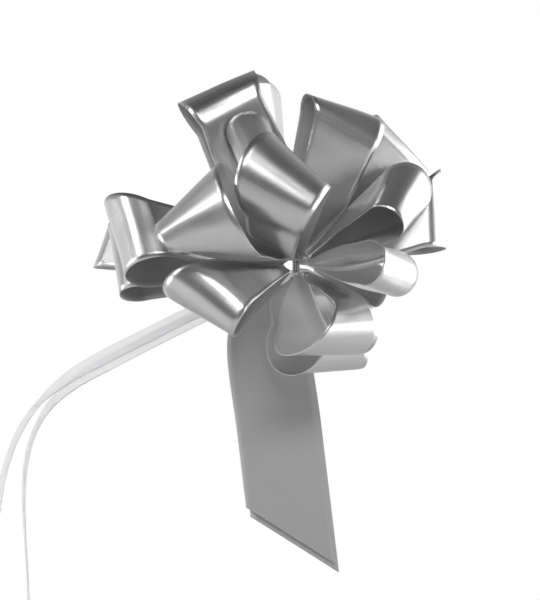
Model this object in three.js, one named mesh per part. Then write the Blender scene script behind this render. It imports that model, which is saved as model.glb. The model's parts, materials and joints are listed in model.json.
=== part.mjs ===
// A pull bow: two layers of wide ribbon, welded together at narrow necks round two flat strings.
// Pulling the strings slides the necks into one stack, and every stretch of ribbon between two necks
// becomes a loop. The last stretch is left hanging as a two-layer tail with a slanted cut.
//
// Millimetres, +Z up, the front faces -Y. The origin is the middle of the stack of necks.
import * as THREE from 'three';

// Driving dimensions
const ribbonWidth = 50;
const film = 0.8; // a loop's solid is thicker than the real film, which is about 0.1
const loopReach = 110; // from the gather to the middle of a typical loop's bend
const loopStandOff = 3.5; // from a neck's upper edge to where a loop's ribbon leaves it
const neckWidth = 8; // ribbon left between a neck's two notches
const layerGap = 1.2; // half the distance between a loop's two layers at the neck
const openingShare = 0.55; // share of a loop's straight part over which the ribbon opens to full width
const straightShare = 0.29; // share of a loop's ribbon in each of its two straight parts
const loopSteps = 24;

const neckCount = 10;
const neckPitch = 2.9;
const neckClearance = 0.3; // between one neck and the next, and round the strings
const neckWall = 0.7;

const stringWidth = 9;
const stringThickness = 0.8;
const stringSteps = 40;
const stringEnd = 1.5; // how far a string's inner run stands out of the stack
const neckGap = stringWidth / 2 + neckClearance + neckWall + loopStandOff; // from the stack's axis
const stringCorner = { thick: 0.5, wide: 0.7 }; // share of each side of a string's section that is flat

const tailSteps = 16;
const tailHead = 9; // how far below the stack's axis the tail leaves its neck
const tailGather = 34; // length over which the tail opens to the ribbon's full width
const tailLength = 163; // along the middle of the front layer
const tailLayerStep = 6; // how much longer the back layer is
const tailCutSlope = 0.81; // rise of the slanted cut over the width
const tailLayerGap = 2.2; // between the middles of the two layers
const tailLayerShift = 2; // how far the back layer hangs to the right

const silver = new THREE.MeshStandardMaterial({ color: 0xb4b6b9, roughness: 0.32, metalness: 0.85 });
const matSilver = new THREE.MeshStandardMaterial({ color: 0x97999b, roughness: 0.55, metalness: 0.55 });
const palePearl = new THREE.MeshStandardMaterial({ color: 0xe2e3e5, roughness: 0.45, metalness: 0.25 });

// Every loop by hand: where the middle of its bend lies, in loop reaches from the gather; the way its
// width runs, from the far edge to the near edge; the radius of its bend at the near and the far edge;
// the level on the stack that it leaves from; how early its near and its far edge open out; how far
// its upper and its lower half swell between the neck and the bend; and how many degrees its near edge
// is twisted.
const loops = [
  {
    name: 'loop_top_left', bend: [-0.44, 0.04, 0.97], width: [-90, -12, -41],
    bendRadius: [18, 15], level: 5, opens: [0.9, 0.9], belly: [0, 0],
  },
  {
    name: 'loop_top', bend: [-0.24, 0.47, 1.07], width: [-10, -98, -1],
    bendRadius: [12, 13], level: 12, opens: [0, 0], belly: [0, 0],
  },
  {
    name: 'loop_upper_centre', bend: [-0.25, -0.34, 0.69], width: [20, -83, -52],
    bendRadius: [12, 13], level: -7, opens: [0, 0], belly: [1, 1],
  },
  {
    name: 'loop_front_centre', bend: [-0.07, -0.86, 0.43], width: [80, 12, -58],
    bendRadius: [16, 24], level: -14, opens: [0, 0.6], belly: [2, 7],
  },
  {
    name: 'loop_front_left', bend: [-0.55, -0.8, 0.25], width: [76, -40, 50],
    bendRadius: [29, 10], level: -11, opens: [0, 0], belly: [2, 2],
  },
  {
    name: 'loop_left_front', bend: [-0.98, -0.07, 0.14], width: [28, -39, -88],
    bendRadius: [20, 21], level: 1, opens: [0.5, 0.6], belly: [1, 2],
  },
  {
    name: 'loop_left_middle', bend: [-1.02, 0.38, 0.02], width: [17, -41, -89],
    bendRadius: [12, 12], level: 3, opens: [0.2, 0.2], belly: [1, 1],
  },
  {
    name: 'loop_left_back', bend: [-1.09, 0.78, 0.2], width: [-35, 13, -93],
    bendRadius: [12, 12], level: 9, opens: [0.2, 0.2], belly: [1, 1],
  },
  {
    name: 'loop_lower_left', bend: [-0.51, -0.47, -0.235], width: [82, -19, -54],
    bendRadius: [13, 18], level: -9, opens: [0, 0.2], belly: [1, 1],
  },
  {
    name: 'loop_lower_front', bend: [0.22, -0.53, -0.44], width: [-81, -59, -4],
    bendRadius: [21, 19], level: -13, opens: [0.2, 0], belly: [1, 1], twist: -30,
  },
  {
    name: 'loop_lower_back', bend: [0.17, 0, -0.59], width: [-84, -54, -7],
    bendRadius: [21, 17], level: 1, opens: [0.5, 0.2], belly: [3, 1], twist: -24,
  },
  {
    name: 'loop_right_upper', bend: [0.627, -0.2, 0.36], width: [-38, -75, -55],
    bendRadius: [12, 17], level: -3, opens: [0, 0], belly: [1, 1],
  },
  {
    name: 'loop_right_lower', bend: [0.54, -0.44, -0.04], width: [-46, -87, 15],
    bendRadius: [13, 13], level: -14, opens: [0.1, 0.1], belly: [2, 2],
  },
  {
    name: 'loop_top_right', bend: [0.26, -0.11, 0.85], width: [-87, -44, 24],
    bendRadius: [11, 17], level: 2, opens: [0.4, 0.4], belly: [1, 1],
  },
  {
    name: 'loop_top_right_back', bend: [0.6, 0.51, 0.71], width: [-67, -32, 67],
    bendRadius: [14, 12], level: 11, opens: [0, 0.2], belly: [1, 1],
  },
  {
    name: 'loop_right_back', bend: [0.82, 0.24, 0.31], width: [-6, 12, 97],
    bendRadius: [15, 15], level: 3, opens: [0.4, 0.4], belly: [1, 1],
  },
  {
    name: 'loop_back_upper', bend: [-0.01, 0.98, 0.44], width: [-99, 0, -11],
    bendRadius: [14, 13], level: 12, opens: [0.5, 0.5], belly: [4, 4],
  },
  {
    name: 'loop_back_lower', bend: [0.34, 0.92, -0.1], width: [-99, 10, 12],
    bendRadius: [14, 14], level: 14, opens: [0.5, 0.5], belly: [4, 4],
  },
];

// The middle of the tail's front layer, from below its neck down past its cut.
const tailRoute = [
  [1, 15, -tailHead], [-9, 18, -28], [-17, 23, -50], [-11, 24, -100],
  [-5, 23, -150], [1, 22, -200], [7, 21, -250],
];

// The two strings' routes after they leave the last neck, chosen by hand: side by side to the lower
// left, then apart, each hanging straight down at its end.
const stringRoutes = {
  string_front: [
    [-4.5, 19, -3.5], [-13, 21, -9.5], [-36, 25, -19], [-62, 23, -29], [-88, 21, -42], [-114, 18, -55],
    [-137, 16, -68], [-155, 14, -83], [-167, 12, -100], [-175, 11, -120], [-180, 10, -145], [-183, 9, -180],
    [-184, 8, -230], [-184, 8, -290], [-184, 8, -350], [-184, 8, -405],
  ],
  string_back: [
    [-4.5, 21.5, -4.5], [-13, 24, -11], [-36, 28, -21], [-61, 26, -33], [-87, 24, -46], [-112, 21, -59],
    [-133, 19, -71], [-149, 17, -85], [-159, 15, -102], [-164, 13, -122], [-165, 12, -148], [-163, 12, -185],
    [-161, 12, -235], [-160, 12, -295], [-160, 12, -355], [-160, 12, -410],
  ],
};

const bow = new THREE.Group();

function add(name, geometry, material) {
  const mesh = new THREE.Mesh(geometry, material);
  mesh.name = name;
  bow.add(mesh);
}

const smooth = (share) => share * share * (3 - 2 * share);

// A flat strip of film bent into place: a box whose corners are moved onto the two edges that
// pointAt(side, along) gives, side -1 or 1 and along 0 to 1, and half a film to each face.
function bentStrip(pointAt, steps) {
  const strip = new THREE.BoxGeometry(2, 2, 1, 1, 1, steps);
  const corners = strip.attributes.position;
  const middleAt = (along) => pointAt(-1, along).add(pointAt(1, along)).multiplyScalar(0.5);
  const aBit = 0.25 / steps;
  for (let i = 0; i < corners.count; i++) {
    const side = corners.getX(i);
    const along = corners.getZ(i) + 0.5;
    const across = pointAt(1, along).sub(pointAt(-1, along)).normalize();
    const ahead = middleAt(Math.min(1, along + aBit)).sub(middleAt(Math.max(0, along - aBit)));
    const faceNormal = ahead.cross(across).normalize();
    const place = pointAt(side, along).addScaledVector(faceNormal, (corners.getY(i) * film) / 2);
    corners.setXYZ(i, place.x, place.y, place.z);
  }
  return strip;
}

// One loop: each edge of the ribbon runs straight from the neck, round a bend, and straight back.
function loopGeometry({ bend, width, bendRadius, level, opens, belly, twist = 0 }) {
  const neck = new THREE.Vector3(0, level, 0);
  const bendMiddle = new THREE.Vector3(...bend).multiplyScalar(loopReach);
  const across = new THREE.Vector3(...width).normalize();
  const outward = bendMiddle.clone().sub(neck).normalize();
  const root = neck.clone().addScaledVector(outward, neckGap);
  const lift = outward.clone().cross(across).normalize();

  function pointAt(side, along) {
    const radius = side > 0 ? bendRadius[0] : bendRadius[1];
    const tip = bendMiddle.clone().addScaledVector(across, (side * ribbonWidth) / 2);
    const reach = tip.distanceTo(root);
    const out = tip.sub(root).normalize();
    const up = lift.clone().addScaledVector(out, -lift.dot(out)).normalize();
    if (side > 0) up.applyAxisAngle(out, THREE.MathUtils.degToRad(twist));
    const toCentre = reach - radius;
    const slope = Math.asin(radius / toCentre);
    const onBend = (angle) =>
      root.clone()
        .addScaledVector(out, toCentre + radius * Math.cos(angle))
        .addScaledVector(up, radius * Math.sin(angle));

    const half = along < 0.5 ? 1 : -1;
    const fromNeck = Math.min(along, 1 - along) / straightShare;
    if (fromNeck >= 1) {
      const round = (along - straightShare) / (1 - 2 * straightShare);
      return onBend((Math.PI / 2 + slope) * (1 - 2 * round));
    }
    const opened = 1 - (1 - Math.min(fromNeck / openingShare, 1)) ** 2;
    const early = side > 0 ? opens[0] : opens[1];
    const spread = (ribbonWidth / 2) * early * (opened - fromNeck);
    const narrowing = (neckWidth / 2) * (1 - fromNeck);
    const swell = 16 * (half > 0 ? belly[0] : belly[1]) * (fromNeck * (1 - fromNeck)) ** 2;
    return root.clone()
      .lerp(onBend((Math.PI / 2 + slope) * half), fromNeck)
      .addScaledVector(across, side * (spread + narrowing))
      .addScaledVector(up, half * (layerGap * (1 - fromNeck) + swell));
  }
  return bentStrip(pointAt, loopSteps);
}

// One layer of the tail, hanging from the last neck: it leaves the neck narrow, opens to the ribbon's
// full width and ends in a slanted cut.
function tailGeometry(depth, shift, extra) {
  const middle = new THREE.CatmullRomCurve3(
    tailRoute.map(([x, y, z]) => new THREE.Vector3(x + shift, y + depth, z)),
  );
  const middleLength = middle.getLength();
  const depthAxis = new THREE.Vector3(0, 1, 0);

  function pointAt(side, along) {
    const edgeLength = tailLength + extra + (side * ribbonWidth * tailCutSlope) / 2;
    const run = along * edgeLength;
    const share = run / middleLength;
    const across = depthAxis.clone().cross(middle.getTangentAt(share)).multiplyScalar(-1).normalize();
    const opened = smooth(Math.min(1, run / tailGather));
    const halfWidth = (neckWidth + (ribbonWidth - neckWidth) * opened) / 2;
    return middle.getPointAt(share).addScaledVector(across, side * halfWidth);
  }
  return bentStrip(pointAt, tailSteps);
}

// One welded neck: a flat sleeve of both layers round the two strings.
function neckGeometry() {
  const slot = { x: 2 * stringThickness + 3 * neckClearance, z: stringWidth + 2 * neckClearance };
  const outline = new THREE.Shape();
  const outer = { x: slot.x / 2 + neckWall, z: slot.z / 2 + neckWall };
  outline.moveTo(-outer.x, -outer.z).lineTo(outer.x, -outer.z);
  outline.lineTo(outer.x, outer.z).lineTo(-outer.x, outer.z);
  const hole = new THREE.Path();
  hole.moveTo(-slot.x / 2, -slot.z / 2).lineTo(-slot.x / 2, slot.z / 2);
  hole.lineTo(slot.x / 2, slot.z / 2).lineTo(slot.x / 2, -slot.z / 2);
  outline.holes.push(hole);
  const depth = neckPitch - neckClearance;
  const sleeve = new THREE.ExtrudeGeometry(outline, { depth, bevelEnabled: false });
  return sleeve.translate(0, 0, -depth / 2).rotateX(-Math.PI / 2);
}

// The stretch of a string inside the necks: a straight flat bar.
function innerStringGeometry(offset) {
  const length = neckCount * neckPitch + 2 * stringEnd;
  return new THREE.BoxGeometry(stringThickness, length, stringWidth).translate(offset, 0, 0);
}

// A string's free stretch: a flat section with eight corners, swept along its route.
function freeStringGeometry(route) {
  const section = new THREE.Shape();
  const half = { x: stringThickness / 2, y: stringWidth / 2 };
  const corner = { x: half.x * stringCorner.thick, y: half.y * stringCorner.wide };
  section.moveTo(-half.x, -corner.y).lineTo(-corner.x, -half.y).lineTo(corner.x, -half.y);
  section.lineTo(half.x, -corner.y).lineTo(half.x, corner.y).lineTo(corner.x, half.y);
  section.lineTo(-corner.x, half.y).lineTo(-half.x, corner.y);
  const points = route.map((point) => new THREE.Vector3(...point));
  return new THREE.ExtrudeGeometry(section, {
    steps: stringSteps,
    bevelEnabled: false,
    extrudePath: new THREE.CatmullRomCurve3(points),
  });
}

for (const loop of loops) add(loop.name, loopGeometry(loop), silver);

for (let i = 0; i < neckCount; i++) {
  const neck = neckGeometry().translate(0, (i - (neckCount - 1) / 2) * neckPitch, 0);
  add(`neck_${String(i + 1).padStart(2, '0')}`, neck, matSilver);
}

add('tail_front', tailGeometry(0, 0, 0), matSilver);
add('tail_back', tailGeometry(tailLayerGap, tailLayerShift, tailLayerStep), matSilver);

const stringOffset = (stringThickness + neckClearance) / 2;
add('string_front_inner', innerStringGeometry(-stringOffset), palePearl);
add('string_back_inner', innerStringGeometry(stringOffset), palePearl);
add('string_front', freeStringGeometry(stringRoutes.string_front), palePearl);
add('string_back', freeStringGeometry(stringRoutes.string_back), palePearl);

export default bow;
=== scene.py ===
import json
import math

import bpy
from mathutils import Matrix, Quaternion, Vector, noise

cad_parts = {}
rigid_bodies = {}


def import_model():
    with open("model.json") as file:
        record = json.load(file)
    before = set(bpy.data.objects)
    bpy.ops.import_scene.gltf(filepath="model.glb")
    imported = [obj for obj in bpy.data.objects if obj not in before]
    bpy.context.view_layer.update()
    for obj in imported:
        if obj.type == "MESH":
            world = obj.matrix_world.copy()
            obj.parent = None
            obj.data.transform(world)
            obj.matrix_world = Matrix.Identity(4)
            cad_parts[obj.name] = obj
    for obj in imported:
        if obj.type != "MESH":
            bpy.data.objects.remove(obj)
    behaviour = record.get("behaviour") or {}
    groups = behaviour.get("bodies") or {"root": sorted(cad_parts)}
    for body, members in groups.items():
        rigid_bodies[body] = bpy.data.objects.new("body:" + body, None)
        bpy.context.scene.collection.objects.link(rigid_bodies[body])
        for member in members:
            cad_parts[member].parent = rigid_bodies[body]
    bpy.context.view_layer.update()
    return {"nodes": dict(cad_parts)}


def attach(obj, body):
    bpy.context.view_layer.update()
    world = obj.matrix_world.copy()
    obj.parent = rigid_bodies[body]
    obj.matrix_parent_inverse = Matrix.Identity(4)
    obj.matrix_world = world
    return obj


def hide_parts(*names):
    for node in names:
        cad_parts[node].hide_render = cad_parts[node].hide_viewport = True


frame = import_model()

# ---------------------------------------------------------------------------------------------------
# Camera. The bow is held up by its gather and looked at straight from the front, a metre away.
# ---------------------------------------------------------------------------------------------------
camera_place = (-0.0156, -1.0, -0.0216)
view_height = 0.36
view_near = 0.05
view_far = 20
sensor_width = 36  # in mm, as a camera's lens and sensor are

bpy.ops.object.camera_add(location=camera_place, rotation=(math.pi / 2, 0, 0))
camera = bpy.context.object
camera.name = "camera"
camera.data.sensor_width = sensor_width
camera.data.lens = sensor_width * -camera_place[1] / view_height
camera.data.clip_start = view_near
camera.data.clip_end = view_far
bpy.context.scene.camera = camera

# ---------------------------------------------------------------------------------------------------
# Pull strings. Two narrow flat strips of pearly white film run through the necks, leave the stack at
# its back and hang down at the lower left. Pulling them gathers the bow. Their ends are cut bare.
# ---------------------------------------------------------------------------------------------------
string_width = 0.009
string_film = 0.0002
string_across = 6
string_steps = 12  # between one route point and the next

# Route points and, after each, how far the strip has turned about its own line there, in degrees:
# at 0 its flat side faces the front.
string_routes = {
    "pull_string_front": [
        ((-0.0045, 0.019, -0.0035), 0),
        ((-0.013, 0.021, -0.0095), 0),
        ((-0.036, 0.025, -0.019), 5),
        ((-0.062, 0.023, -0.029), 10),
        ((-0.088, 0.021, -0.042), 10),
        ((-0.114, 0.018, -0.055), 5),
        ((-0.137, 0.016, -0.068), 35),
        ((-0.155, 0.014, -0.083), 65),
        ((-0.167, 0.012, -0.1), 60),
        ((-0.175, 0.011, -0.12), 60),
        ((-0.18, 0.01, -0.145), 60),
        ((-0.183, 0.009, -0.18), 60),
        ((-0.184, 0.008, -0.23), 60),
        ((-0.184, 0.008, -0.29), 50),
        ((-0.184, 0.008, -0.35), 40),
        ((-0.184, 0.008, -0.405), 40),
    ],
    "pull_string_back": [
        ((-0.0045, 0.0215, -0.0045), 0),
        ((-0.013, 0.024, -0.011), 0),
        ((-0.036, 0.028, -0.021), -5),
        ((-0.061, 0.026, -0.033), 0),
        ((-0.087, 0.024, -0.046), 0),
        ((-0.112, 0.021, -0.059), 10),
        ((-0.133, 0.019, -0.071), 35),
        ((-0.149, 0.017, -0.085), 55),
        ((-0.159, 0.015, -0.102), 65),
        ((-0.164, 0.013, -0.122), 65),
        ((-0.165, 0.012, -0.148), 70),
        ((-0.163, 0.012, -0.185), 75),
        ((-0.161, 0.012, -0.235), 70),
        ((-0.16, 0.012, -0.295), 70),
        ((-0.16, 0.012, -0.355), 60),
        ((-0.16, 0.012, -0.41), 60),
    ],
}


class Wire:
    """A socket in a node tree. Arithmetic on wires adds Math nodes, and node() adds any other node."""

    def __init__(self, tree, socket=None):
        self.tree = tree
        self.socket = socket

    def node(self, kind, settings=None, inputs=None, output=0):
        made = self.tree.nodes.new(kind)
        for setting, value in (settings or {}).items():
            setattr(made, setting, value)
        for name, value in (inputs or {}).items():
            if isinstance(value, Wire):
                self.tree.links.new(value.socket, made.inputs[name])
            else:
                made.inputs[name].default_value = value
        return Wire(self.tree, made.outputs[output] if made.outputs else None)

    def out(self, name):
        return Wire(self.tree, self.socket.node.outputs[name])

    def maths(self, operation, first, second):
        return self.node("ShaderNodeMath", {"operation": operation}, {0: first, 1: second})

    def __add__(self, other):
        return self.maths("ADD", self, other)

    def __sub__(self, other):
        return self.maths("SUBTRACT", self, other)

    def __mul__(self, other):
        return self.maths("MULTIPLY", self, other)

    __radd__ = __add__


blue_tint = 1.01
speck_scale = 1500
cloud_scale = 60
streak_scale = (900, 12, 1)  # fine across the film and long down its length
band_scale = (6, 70, 1)  # broad across the film and short down its length
noise_middle = 0.5
cloud_shade = 0.2
speck_roughness = 0.12
cloud_roughness = 0.08
streak_relief = 0.3
relief_height = 0.0004


def grey(shade):
    return (shade, shade, shade * blue_tint, 1)


def film_material(name, colours, roughness, metallic, grain, streak=0.0, bump=0.1, waves=0):
    """Ribbon film: a fine grain all over and faint streaks along its length, in colour and in relief,
    and, where waves is more than 0, shallow waves that run across it."""
    material = bpy.data.materials.new(name)
    material.use_nodes = True
    tree = Wire(material.node_tree)
    shader = material.node_tree.nodes["Principled BSDF"]
    place = tree.node("ShaderNodeTexCoord", output="Object")
    strip = tree.node("ShaderNodeTexCoord", output="UV")
    speck = tree.node("ShaderNodeTexNoise", None, {"Vector": place, "Scale": speck_scale, "Detail": 3})
    cloud = tree.node("ShaderNodeTexNoise", None, {"Vector": place, "Scale": cloud_scale, "Detail": 2})
    lines = tree.node("ShaderNodeMapping", None, {"Vector": strip, "Scale": streak_scale})
    line = tree.node("ShaderNodeTexNoise", None, {"Vector": lines, "Scale": 1, "Detail": 2})
    bands = tree.node("ShaderNodeMapping", None, {"Vector": strip, "Scale": band_scale})
    band = tree.node("ShaderNodeTexNoise", None, {"Vector": bands, "Scale": 1, "Detail": 1})
    speck_off = speck - noise_middle
    cloud_off = cloud - noise_middle
    line_off = line - noise_middle
    shade = noise_middle + speck_off * grain + line_off * streak + cloud_off * cloud_shade
    colour = tree.node(
        "ShaderNodeMix",
        {"data_type": "RGBA"},
        {"Factor": shade, "A": grey(colours[0]), "B": grey(colours[1])},
        output="Result",
    )
    rough = roughness + speck_off * speck_roughness + cloud_off * cloud_roughness
    relief = tree.node(
        "ShaderNodeBump",
        None,
        {
            "Height": speck + line * streak_relief + band * waves,
            "Strength": bump,
            "Distance": relief_height,
        },
    )
    material.node_tree.links.new(colour.socket, shader.inputs["Base Color"])
    material.node_tree.links.new(rough.socket, shader.inputs["Roughness"])
    material.node_tree.links.new(relief.socket, shader.inputs["Normal"])
    shader.inputs["Metallic"].default_value = metallic
    return material


def strip_piece(name, cells, point_at, thickness, materials):
    """A strip of film: a flat grid whose points are moved to point_at(side, along), then given its
    thickness. side runs from -1 to 1 across the strip, and along from 0 to 1 down its length."""
    bpy.ops.object.select_all(action="DESELECT")
    bpy.ops.mesh.primitive_grid_add(x_subdivisions=cells[0], y_subdivisions=cells[1], size=2)
    piece = bpy.context.object
    piece.name = name
    mesh = piece.data
    mesh.name = name
    across = [0.0] * len(mesh.vertices)
    down = [0.0] * len(mesh.vertices)
    for corner in mesh.vertices:
        along = (corner.co.y + 1) / 2
        side = corner.co.x
        across[corner.index] = side
        down[corner.index] = along
        corner.co = point_at(side, along)
    width = (point_at(1, 0.5) - point_at(-1, 0.5)).length
    length = 0.0
    steps = cells[1]
    for step in range(steps):
        length += (point_at(0, (step + 1) / steps) - point_at(0, step / steps)).length
    for loop in mesh.loops:
        side = across[loop.vertex_index]
        mesh.uv_layers.active.data[loop.index].uv = (side * width / 2, down[loop.vertex_index] * length)
    for material in materials:
        mesh.materials.append(material)
    area = sum(face.area for face in mesh.polygons)
    bpy.ops.object.shade_smooth()
    wall = piece.modifiers.new("thickness", "SOLIDIFY")
    wall.thickness = thickness
    wall.offset = 0
    if len(materials) > 1:
        wall.material_offset = 1
        wall.material_offset_rim = 2
    bpy.ops.object.modifier_apply(modifier=wall.name)
    return piece, length, area


def curve_through(points, steps):
    """Points on one smooth Catmull-Rom curve through the given ones."""
    ends = [points[0] * 2 - points[1]] + points + [points[-1] * 2 - points[-2]]
    line = []
    for i in range(len(points) - 1):
        before, start, end, after = ends[i : i + 4]
        for step in range(steps):
            t = step / steps
            line.append(
                (
                    start * 2
                    + (end - before) * t
                    + (before * 2 - start * 5 + end * 4 - after) * t**2
                    + (start * 3 - before - end * 3 + after) * t**3
                )
                / 2
            )
    line.append(points[-1])
    return line


def string_point(line, turns):
    """Gives the place of a string's point from its side and how far along it is."""
    last = len(line) - 1

    def point_at(side, along):
        i = round(along * last)
        ahead = (line[min(i + 1, last)] - line[max(i - 1, 0)]).normalized()
        flat = ahead.cross(Vector((0, 1, 0))).normalized()
        turn = along * (len(turns) - 1)
        before = min(int(turn), len(turns) - 2)
        angle = turns[before] + (turns[before + 1] - turns[before]) * (turn - before)
        flat.rotate(Quaternion(ahead, math.radians(angle)))
        return line[i] + flat * (side * string_width / 2)

    return point_at


pearl_clearness = 0.85
pearl_bending = 1.2
pearl_film = film_material("pearl_film", (0.88, 0.98), 0.5, 0.0, grain=0.4, streak=0.5)
pearl_shader = pearl_film.node_tree.nodes["Principled BSDF"]
pearl_shader.inputs["Transmission Weight"].default_value = pearl_clearness
pearl_shader.inputs["IOR"].default_value = pearl_bending

for name, route in string_routes.items():
    line = curve_through([Vector(place) for place, _ in route], string_steps)
    piece, _, _ = strip_piece(
        name,
        (string_across, len(line) - 1),
        string_point(line, [turn for _, turn in route]),
        string_film,
        [pearl_film],
    )
    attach(piece, "gather")
    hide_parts(name.replace("pull_", ""))
    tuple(route[0][0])

for node in ("string_front_inner", "string_back_inner"):
    frame["nodes"][node].data.materials.clear()
    frame["nodes"][node].data.materials.append(pearl_film)

# ---------------------------------------------------------------------------------------------------
# Necks. At every notch the two layers of wide ribbon are welded into a narrow flat sleeve round the
# strings. The ten sleeves stack up along the strings, front to back.
# ---------------------------------------------------------------------------------------------------
welded_film = film_material("welded_film", (0.55, 0.8), 0.42, 0.8, grain=0.8, streak=0.6, bump=0.3)

for node, piece in frame["nodes"].items():
    if node.startswith("neck_"):
        piece.data.materials.clear()
        piece.data.materials.append(welded_film)

# ---------------------------------------------------------------------------------------------------
# Loops. Each is the stretch of one ribbon layer between two necks: metallised film, satin outside and
# matt inside, held only at its narrow neck. Its own springiness rounds its bend.
# ---------------------------------------------------------------------------------------------------
ribbon_width = 0.05
ribbon_film = 0.00025
ribbon_across = 12
ribbon_steps = 144

loop_reach = 0.11
neck_gap = 0.009
neck_width = 0.008
layer_gap = 0.0012
opening_share = 0.55
straight_share = 0.29
waves_per_loop = 10
wave_slant = 0.7
wave_height = 0.0008
wave_seed_step = 3.7
slope_step = 0.002  # share of a loop over which its direction is measured

satin_outside = film_material("satin_outside", (0.54, 0.76), 0.33, 1.0, grain=0.6, streak=0.1, waves=30)
matt_inside = film_material("matt_inside", (0.38, 0.5), 0.5, 0.1, grain=0.4, streak=0.05, bump=0.06)
cut_edge = film_material("cut_edge", (0.7, 0.85), 0.45, 0.4, grain=0.2)


def ripple(side, along, seed):
    """Height of the film's faint waves, which run across the ribbon and die out towards the necks."""
    from_neck = min(along, 1 - along) / straight_share
    wave = noise.noise(Vector((along * waves_per_loop, side * wave_slant, seed)))
    return wave_height * wave * min(1, from_neck)


def loop_point(bend, width, bend_radius, level, opens, belly, twist, seed):
    """Gives the place of a loop's point. Each edge of the ribbon runs straight from the neck, round a
    bend of its own radius and straight back, and every line across joins the two edges."""
    neck = Vector((0, level, 0))
    bend_middle = Vector(bend) * loop_reach
    across = Vector(width).normalized()
    outward = (bend_middle - neck).normalized()
    root = neck + outward * neck_gap
    lift = outward.cross(across).normalized()

    def edge_at(side, along):
        radius = bend_radius[0] if side > 0 else bend_radius[1]
        tip = bend_middle + across * (side * ribbon_width / 2)
        to_centre = (tip - root).length - radius
        out = (tip - root).normalized()
        up = (lift - out * lift.dot(out)).normalized()
        up.rotate(Quaternion(out, math.radians(twist * (1 + side) / 2)))
        slope = math.asin(radius / to_centre)
        half = 1 if along < 0.5 else -1
        from_neck = min(along, 1 - along) / straight_share
        if from_neck >= 1:
            round_share = (along - straight_share) / (1 - 2 * straight_share)
            angle = (math.pi / 2 + slope) * (1 - 2 * round_share)
        else:
            angle = (math.pi / 2 + slope) * half
        on_bend = root + out * (to_centre + radius * math.cos(angle)) + up * (radius * math.sin(angle))
        if from_neck >= 1:
            return on_bend
        opened = 1 - (1 - min(from_neck / opening_share, 1)) ** 2
        early = opens[0] if side > 0 else opens[1]
        spread = ribbon_width / 2 * early * (opened - from_neck)
        swell = (4 * from_neck * (1 - from_neck)) ** 2
        bulge = belly[0 if half > 0 else 1] * swell
        narrowing = neck_width / 2 * (1 - from_neck)
        layered = up * (half * (layer_gap * (1 - from_neck) + bulge))
        return root.lerp(on_bend, from_neck) + across * (side * (spread + narrowing)) + layered

    def middle_at(along):
        return (edge_at(-1, along) + edge_at(1, along)) / 2

    def point_at(side, along):
        far = edge_at(-1, along)
        near = edge_at(1, along)
        ahead = middle_at(min(1, along + slope_step)) - middle_at(max(0, along - slope_step))
        face = ahead.cross(near - far).normalized()
        return far.lerp(near, (side + 1) / 2) + face * ripple(side, along, seed)

    return point_at


def ribbon_loop(name, bend, width, bend_radius, level, opens, belly, twist=0):
    """One loop, as wide as the ribbon and as long as its own stretch of it. bend says where the middle of
    its bend lies, in loop reaches from the gather; width, which way its width runs from its far edge to
    its near edge; level, where on the stack of necks it starts; and twist, how many degrees its near edge
    is turned. Of each pair, bend_radius and opens (how early the ribbon opens out) give the near edge and
    the far edge, and belly (how far a half swells, in m) gives the upper and the lower half."""
    seed = wave_seed_step * len(bpy.data.objects)
    piece, length, area = strip_piece(
        "ribbon_" + name,
        (ribbon_across, ribbon_steps),
        loop_point(bend, width, bend_radius, level, opens, belly, twist, seed),
        ribbon_film,
        [matt_inside, satin_outside, cut_edge],
    )
    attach(piece, "loop_" + name)
    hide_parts("loop_" + name)


ribbon_loop(
    "top_left", bend=(-0.44, 0.04, 0.97), width=(-90, -12, -41), bend_radius=(0.018, 0.015),
    level=0.005, opens=(0.9, 0.9), belly=(0, 0),
)
ribbon_loop(
    "top", bend=(-0.24, 0.47, 1.07), width=(-10, -98, -1), bend_radius=(0.012, 0.013),
    level=0.012, opens=(0, 0), belly=(0, 0),
)
ribbon_loop(
    "upper_centre", bend=(-0.25, -0.34, 0.69), width=(20, -83, -52), bend_radius=(0.012, 0.013),
    level=-0.007, opens=(0, 0), belly=(0.001, 0.001),
)
ribbon_loop(
    "front_centre", bend=(-0.07, -0.86, 0.43), width=(80, 12, -58), bend_radius=(0.016, 0.024),
    level=-0.014, opens=(0, 0.6), belly=(0.002, 0.007),
)
ribbon_loop(
    "front_left", bend=(-0.55, -0.8, 0.25), width=(76, -40, 50), bend_radius=(0.029, 0.01),
    level=-0.011, opens=(0, 0), belly=(0.002, 0.002),
)
ribbon_loop(
    "left_front", bend=(-0.98, -0.07, 0.14), width=(28, -39, -88), bend_radius=(0.02, 0.021),
    level=0.001, opens=(0.5, 0.6), belly=(0.001, 0.002),
)
ribbon_loop(
    "left_middle", bend=(-1.02, 0.38, 0.02), width=(17, -41, -89), bend_radius=(0.012, 0.012),
    level=0.003, opens=(0.2, 0.2), belly=(0.001, 0.001),
)
ribbon_loop(
    "left_back", bend=(-1.09, 0.78, 0.2), width=(-35, 13, -93), bend_radius=(0.012, 0.012),
    level=0.009, opens=(0.2, 0.2), belly=(0.001, 0.001),
)
ribbon_loop(
    "lower_left", bend=(-0.51, -0.47, -0.235), width=(82, -19, -54), bend_radius=(0.013, 0.018),
    level=-0.009, opens=(0, 0.2), belly=(0.001, 0.001),
)
ribbon_loop(
    "lower_front", bend=(0.22, -0.53, -0.44), width=(-81, -59, -4), bend_radius=(0.021, 0.019),
    level=-0.013, opens=(0.2, 0), belly=(0.001, 0.001), twist=-30,
)
ribbon_loop(
    "lower_back", bend=(0.17, 0, -0.59), width=(-84, -54, -7), bend_radius=(0.021, 0.017),
    level=0.001, opens=(0.5, 0.2), belly=(0.003, 0.001), twist=-24,
)
ribbon_loop(
    "right_upper", bend=(0.627, -0.2, 0.36), width=(-38, -75, -55), bend_radius=(0.012, 0.017),
    level=-0.003, opens=(0, 0), belly=(0.001, 0.001),
)
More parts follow.
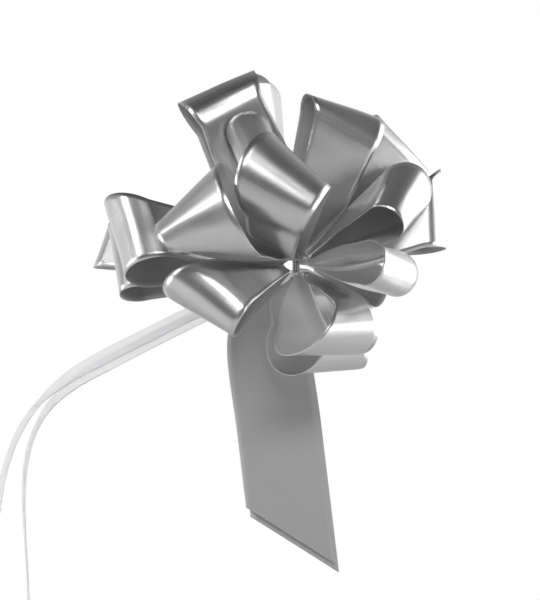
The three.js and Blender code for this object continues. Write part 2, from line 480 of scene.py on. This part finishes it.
ribbon_loop(
    "right_lower", bend=(0.54, -0.44, -0.04), width=(-46, -87, 15), bend_radius=(0.013, 0.013),
    level=-0.014, opens=(0.1, 0.1), belly=(0.002, 0.002),
)
ribbon_loop(
    "top_right", bend=(0.26, -0.11, 0.85), width=(-87, -44, 24), bend_radius=(0.011, 0.017),
    level=0.002, opens=(0.4, 0.4), belly=(0.001, 0.001),
)
ribbon_loop(
    "top_right_back", bend=(0.6, 0.51, 0.71), width=(-67, -32, 67), bend_radius=(0.014, 0.012),
    level=0.011, opens=(0, 0.2), belly=(0.001, 0.001),
)
ribbon_loop(
    "right_back", bend=(0.82, 0.24, 0.31), width=(-6, 12, 97), bend_radius=(0.015, 0.015),
    level=0.003, opens=(0.4, 0.4), belly=(0.001, 0.001),
)
ribbon_loop(
    "back_upper", bend=(-0.01, 0.98, 0.44), width=(-99, 0, -11), bend_radius=(0.014, 0.013),
    level=0.012, opens=(0.5, 0.5), belly=(0.004, 0.004),
)
ribbon_loop(
    "back_lower", bend=(0.34, 0.92, -0.1), width=(-99, 10, 12), bend_radius=(0.014, 0.014),
    level=0.014, opens=(0.5, 0.5), belly=(0.004, 0.004),
)

# ---------------------------------------------------------------------------------------------------
# Tail. The last stretch of both ribbon layers forms no loop. It hangs from the last neck and ends in a
# slanted cut. Its matt side faces the front, and its two layers hang a little apart.
# ---------------------------------------------------------------------------------------------------
tail_across = 12
tail_steps = 96
tail_gather = 0.034
tail_length = 0.163
tail_layer_step = 0.006
tail_cut_slope = 0.81
tail_layer_gap = 0.0022
tail_layer_shift = 0.002
tail_curve_steps = 24
tail_route = [
    (0.001, 0.015, -0.009),
    (-0.009, 0.018, -0.028),
    (-0.017, 0.023, -0.05),
    (-0.011, 0.024, -0.1),
    (-0.005, 0.023, -0.15),
    (0.001, 0.022, -0.2),
    (0.007, 0.021, -0.25),
]


def tail_point(shift, extra):
    """Gives the place of a tail layer's point. The layer opens from its neck to the full width."""
    middle = curve_through([Vector(place) + Vector(shift) for place in tail_route], tail_curve_steps)
    reached = [0.0]
    for before, after in zip(middle, middle[1:]):
        reached.append(reached[-1] + (after - before).length)

    def point_at(side, along):
        run = along * (tail_length + extra + side * ribbon_width * tail_cut_slope / 2)
        step = max(i for i in range(len(middle) - 1) if reached[i] <= run)
        ahead = middle[step + 1] - middle[step]
        centre = middle[step] + ahead.normalized() * (run - reached[step])
        opened = min(1, run / tail_gather)
        opened = opened * opened * (3 - 2 * opened)  # slow at both ends
        half_width = (neck_width + (ribbon_width - neck_width) * opened) / 2
        across = ahead.cross(Vector((0, 1, 0))).normalized()
        return centre + across * (side * half_width)

    return point_at


for name, shift, extra in (
    ("front", (0, 0, 0), 0),
    ("back", (tail_layer_shift, tail_layer_gap, 0), tail_layer_step),
):
    piece, length, area = strip_piece(
        "ribbon_tail_" + name,
        (tail_across, tail_steps),
        tail_point(shift, extra),
        ribbon_film,
        [satin_outside, matt_inside, cut_edge],
    )
    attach(piece, "tail_" + name)
    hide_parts("tail_" + name)

# ---------------------------------------------------------------------------------------------------
# Floor and light. A pale floor lies well below the bow, as in a small photo studio. Soft panels stand at
# the left, the right and high up in front. The room is bright behind the bow and dim in front of it and
# overhead, which gives the satin film its bands of light and dark. The camera itself sees it plain white.
# ---------------------------------------------------------------------------------------------------
floor_level = -0.43
floor_radius = 1.0
floor_corners = 96
floor_shade = 0.85
floor_roughness = 0.8
front_glow = 0.13
back_glow = 0.95
front_edge = -0.3  # this and the next are places along a direction's Y, and the last two along its Z
back_edge = 0.8
overhead_share = 0.3
overhead_start = 0.1
overhead_end = 0.8

bpy.ops.object.select_all(action="DESELECT")
bpy.ops.mesh.primitive_circle_add(
    vertices=floor_corners, radius=floor_radius, fill_type="NGON", location=(0, 0, floor_level)
)
floor = bpy.context.object
floor.name = "floor"
floor.data.materials.append(bpy.data.materials.new("floor_paint"))
floor.data.materials[0].use_nodes = True
floor_shader = floor.data.materials[0].node_tree.nodes["Principled BSDF"]
floor_shader.inputs["Base Color"].default_value = (floor_shade, floor_shade, floor_shade, 1)
floor_shader.inputs["Roughness"].default_value = floor_roughness


def light_panel(name, place, size, power):
    """A soft light panel that faces the middle of the bow."""
    bpy.ops.object.light_add(type="AREA", location=place)
    light = bpy.context.object
    light.name = name
    light.data.shape = "RECTANGLE"
    light.data.size = size[0]
    light.data.size_y = size[1]
    light.data.energy = power
    light.rotation_mode = "QUATERNION"
    light.rotation_quaternion = Vector(place).to_track_quat("Z", "Y")


light_panel("panel_left", (-1.2, -0.1, -0.4), (0.5, 0.9), 8)
light_panel("panel_upper_left", (-0.95, -0.5, 0.55), (0.25, 0.7), 4)
light_panel("panel_right", (1.2, 0.4, 0.0), (1.0, 1.4), 12)
light_panel("panel_right_front", (1.1, -0.4, -0.2), (0.12, 0.5), 2)
light_panel("panel_front", (0.15, -1.1, 0.6), (0.7, 0.22), 6)

world = bpy.data.worlds.new("studio")
bpy.context.scene.world = world
world.use_nodes = True
world.node_tree.nodes.clear()
room = Wire(world.node_tree)
facing = room.node("ShaderNodeTexCoord", output="Generated")
axes = room.node("ShaderNodeSeparateXYZ", None, {"Vector": facing})
overhead = room.node(
    "ShaderNodeMapRange",
    None,
    {
        "Value": axes.out("Z"),
        "From Min": overhead_start,
        "From Max": overhead_end,
        "To Min": 1.0,
        "To Max": overhead_share,
    },
)
towards_back = room.node(
    "ShaderNodeMapRange",
    None,
    {
        "Value": axes.out("Y"),
        "From Min": front_edge,
        "From Max": back_edge,
        "To Min": front_glow,
        "To Max": back_glow,
    },
)
seen = room.node("ShaderNodeLightPath", output="Is Camera Ray")
strength = room.maths("MAXIMUM", towards_back * overhead, seen)
background = room.node("ShaderNodeBackground", None, {"Color": (1, 1, 1, 1), "Strength": strength})
room.node("ShaderNodeOutputWorld", None, {"Surface": background})

bpy.context.scene.view_settings.view_transform = "Standard"
